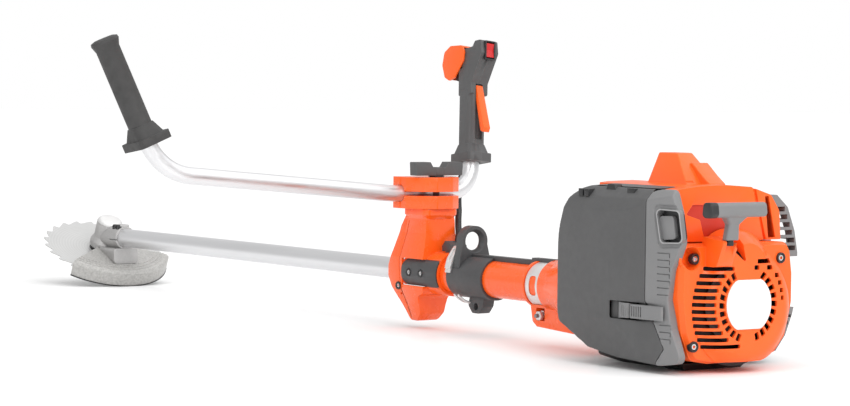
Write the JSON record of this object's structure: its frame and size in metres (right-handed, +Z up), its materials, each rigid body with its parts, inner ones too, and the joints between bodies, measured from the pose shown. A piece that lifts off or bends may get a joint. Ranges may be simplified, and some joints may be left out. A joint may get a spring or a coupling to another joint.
{
  "type": "brush cutter",
  "caption": "Petrol clearing saw: rear engine, straight tube, angled gear head with a guarded saw blade, and an offset handlebar on a vibration-damped column.",
  "frame": {"origin": "centre of the bottom of the whole box, on the floor that the engine and the blade guard rest on", "axes": "+X along the drive tube towards the blade, +Y to the operator's left, +Z up"},
  "size_m": [1.9008, 0.716, 0.4424],
  "materials": {
    "orange_paint": "glossy orange powder coat on a light-metal casting",
    "orange_plastic": "glossy orange moulded plastic",
    "dark_plastic": "fine-grained dark grey moulded plastic",
    "black_rubber": "matt black rubber",
    "red_plastic": "glossy red moulded plastic",
    "tube_aluminium": "satin anodised",
    "cast_aluminium": "sand-blasted casting",
    "machined_aluminium": "machined",
    "steel": "ground steel",
    "bright_steel": "zinc-plated",
    "black_steel": "blackened steel",
    "guard_plastic": "light grey mottled plastic",
    "filter_felt": "felt"
  },
  "bodies": {
    "frame": {"air_filter": "filter_felt", "av_cover": "orange_paint", "av_dampers": "black_rubber", "av_housing": "orange_paint", "blade_guard": "guard_plastic", "cable_channel": "dark_plastic", "cable_clip": "dark_plastic", "carburettor": "dark_plastic", "clamp_screw": "bright_steel", "clutch_cover": "orange_paint", "crankcase": "cast_aluminium", "cylinder": "cast_aluminium", "cylinder_cover": "orange_plastic", "drive_tube": "tube_aluminium", "filter_housing": "dark_plastic", "fuel_tank": "dark_plastic", "gear_cap": "machined_aluminium", "gear_housing": "cast_aluminium", "head_bearings": "steel", "muffler": "steel", "muffler_guard": "dark_plastic", "rear_tube": "orange_paint", "shaft_bushes": "black_rubber", "side_plate": "dark_plastic", "socket_screws": "black_steel", "spark_plug": "bright_steel", "starter_cover": "orange_plastic", "throttle_cable": "black_rubber", "tube_clamp": "bright_steel"},
    "spindle": {"output_shaft": "steel", "crown_gear": "steel", "drive_disc": "black_steel", "saw_blade": "steel", "support_flange": "black_steel", "blade_nut": "black_steel"},
    "drive_line": {"drive_shaft": "steel", "pinion_gear": "steel", "clutch_drum": "steel"},
    "crank": {"crankshaft": "steel", "clutch_hub": "steel", "flywheel": "cast_aluminium"},
    "piston_body": {"piston": "cast_aluminium"},
    "reel": {"starter_reel": "dark_plastic"},
    "pull_handle": {"starter_handle": "dark_plastic"},
    "bar_clamp": {"lower_jaw": "orange_paint", "upper_jaw": "orange_paint"},
    "knob": {"clamp_knob": "dark_plastic"},
    "bars": {"handlebar": "tube_aluminium", "left_grip": "black_rubber", "throttle_handle_left": "dark_plastic", "throttle_handle_right": "dark_plastic"},
    "trigger": {"throttle_trigger": "orange_plastic"},
    "lockout": {"throttle_lockout": "orange_plastic"},
    "switch": {"stop_switch": "red_plastic"},
    "harness_mount": {"suspension_sleeve": "dark_plastic", "suspension_eye": "dark_plastic", "suspension_clip": "bright_steel"},
    "intake_cover": {"filter_cover": "dark_plastic"},
    "latch": {"cover_latch": "dark_plastic"},
    "tank_cap": {"fuel_cap": "dark_plastic"}
  },
  "joints": [
    {"name": "drive_spin", "type": "hinge", "parent": "frame", "child": "drive_line", "pos_m": [0.31932, -0.19598, 0.087], "axis": [1, 0, 0], "continuous": true},
    {"name": "blade_spin", "type": "hinge", "parent": "frame", "child": "spindle", "pos_m": [0.84732, -0.19598, 0.062], "axis": [-0.4067, 0, 0.9135], "continuous": true},
    {"name": "crank_spin", "type": "hinge", "parent": "frame", "child": "crank", "pos_m": [-0.76868, -0.19598, 0.087], "axis": [1, 0, 0], "continuous": true},
    {"name": "piston_slide", "type": "slide", "parent": "frame", "child": "piston_body", "axis": [0, 0, 1], "range_m": [0, 0.032]},
    {"name": "starter_pull", "type": "slide", "parent": "frame", "child": "pull_handle", "axis": [-0.3419, 0, 0.9397], "range_m": [0, 0.9], "stiffness_N_per_m": 4, "springref_m": -0.5},
    {"name": "reel_spin", "type": "hinge", "parent": "frame", "child": "reel", "pos_m": [-0.88568, -0.19598, 0.087], "axis": [1, 0, 0], "range_deg": [-5, 1233]},
    {"name": "handlebar_swing", "type": "hinge", "parent": "frame", "child": "bar_clamp", "pos_m": [-0.21668, -0.19598, 0.184], "axis": [0, 0, 1], "range_deg": [-90, 20], "deforming": ["throttle_cable"]},
    {"name": "handlebar_tilt", "type": "hinge", "parent": "bar_clamp", "child": "bars", "pos_m": [-0.18668, -0.19598, 0.207], "axis": [0, 1, 0], "range_deg": [-15, 15], "deforming": ["throttle_cable"]},
    {"name": "knob_turn", "type": "hinge", "parent": "bar_clamp", "child": "knob", "pos_m": [-0.21668, -0.19598, 0.237], "axis": [0, 0, 1], "continuous": true},
    {"name": "throttle_pull", "type": "hinge", "parent": "bars", "child": "trigger", "pos_m": [-0.15557, -0.30516, 0.41441], "axis": [0, 0.9938, 0.1111], "range_deg": [0, 9], "stiffness_Nm_per_rad": 0.6, "springref_deg": -20.05},
    {"name": "lockout_press", "type": "hinge", "parent": "bars", "child": "lockout", "pos_m": [-0.18102, -0.30017, 0.36977], "axis": [0, -0.9938, -0.1111], "range_deg": [0, 12], "stiffness_Nm_per_rad": 0.3, "springref_deg": -17.19},
    {"name": "stop_rock", "type": "hinge", "parent": "bars", "child": "switch", "pos_m": [-0.19351, -0.30631, 0.42468], "axis": [0, 0.9938, 0.1111], "range_deg": [-8, 8]},
    {"name": "harness_slide", "type": "slide", "parent": "frame", "child": "harness_mount", "axis": [1, 0, 0], "range_m": [-0.08, 0.015]},
    {"name": "cover_off", "type": "slide", "parent": "frame", "child": "intake_cover", "axis": [0, 1, 0], "range_m": [0, 0.08]},
    {"name": "latch_open", "type": "hinge", "parent": "intake_cover", "child": "latch", "pos_m": [-0.79818, -0.08348, 0.079], "axis": [0, 0, -1], "range_deg": [0, 60]},
    {"name": "fuel_cap_turn", "type": "hinge", "parent": "frame", "child": "tank_cap", "pos_m": [-0.67868, -0.23398, 0.021], "axis": [1, 0, 0], "range_deg": [0, 90]}
  ],
  "couplings": [
    {"joint": "blade_spin", "follows": "drive_spin", "ratio": 0.75},
    {"joint": "reel_spin", "follows": "starter_pull", "rad_per_m": 23.81}
  ]
}
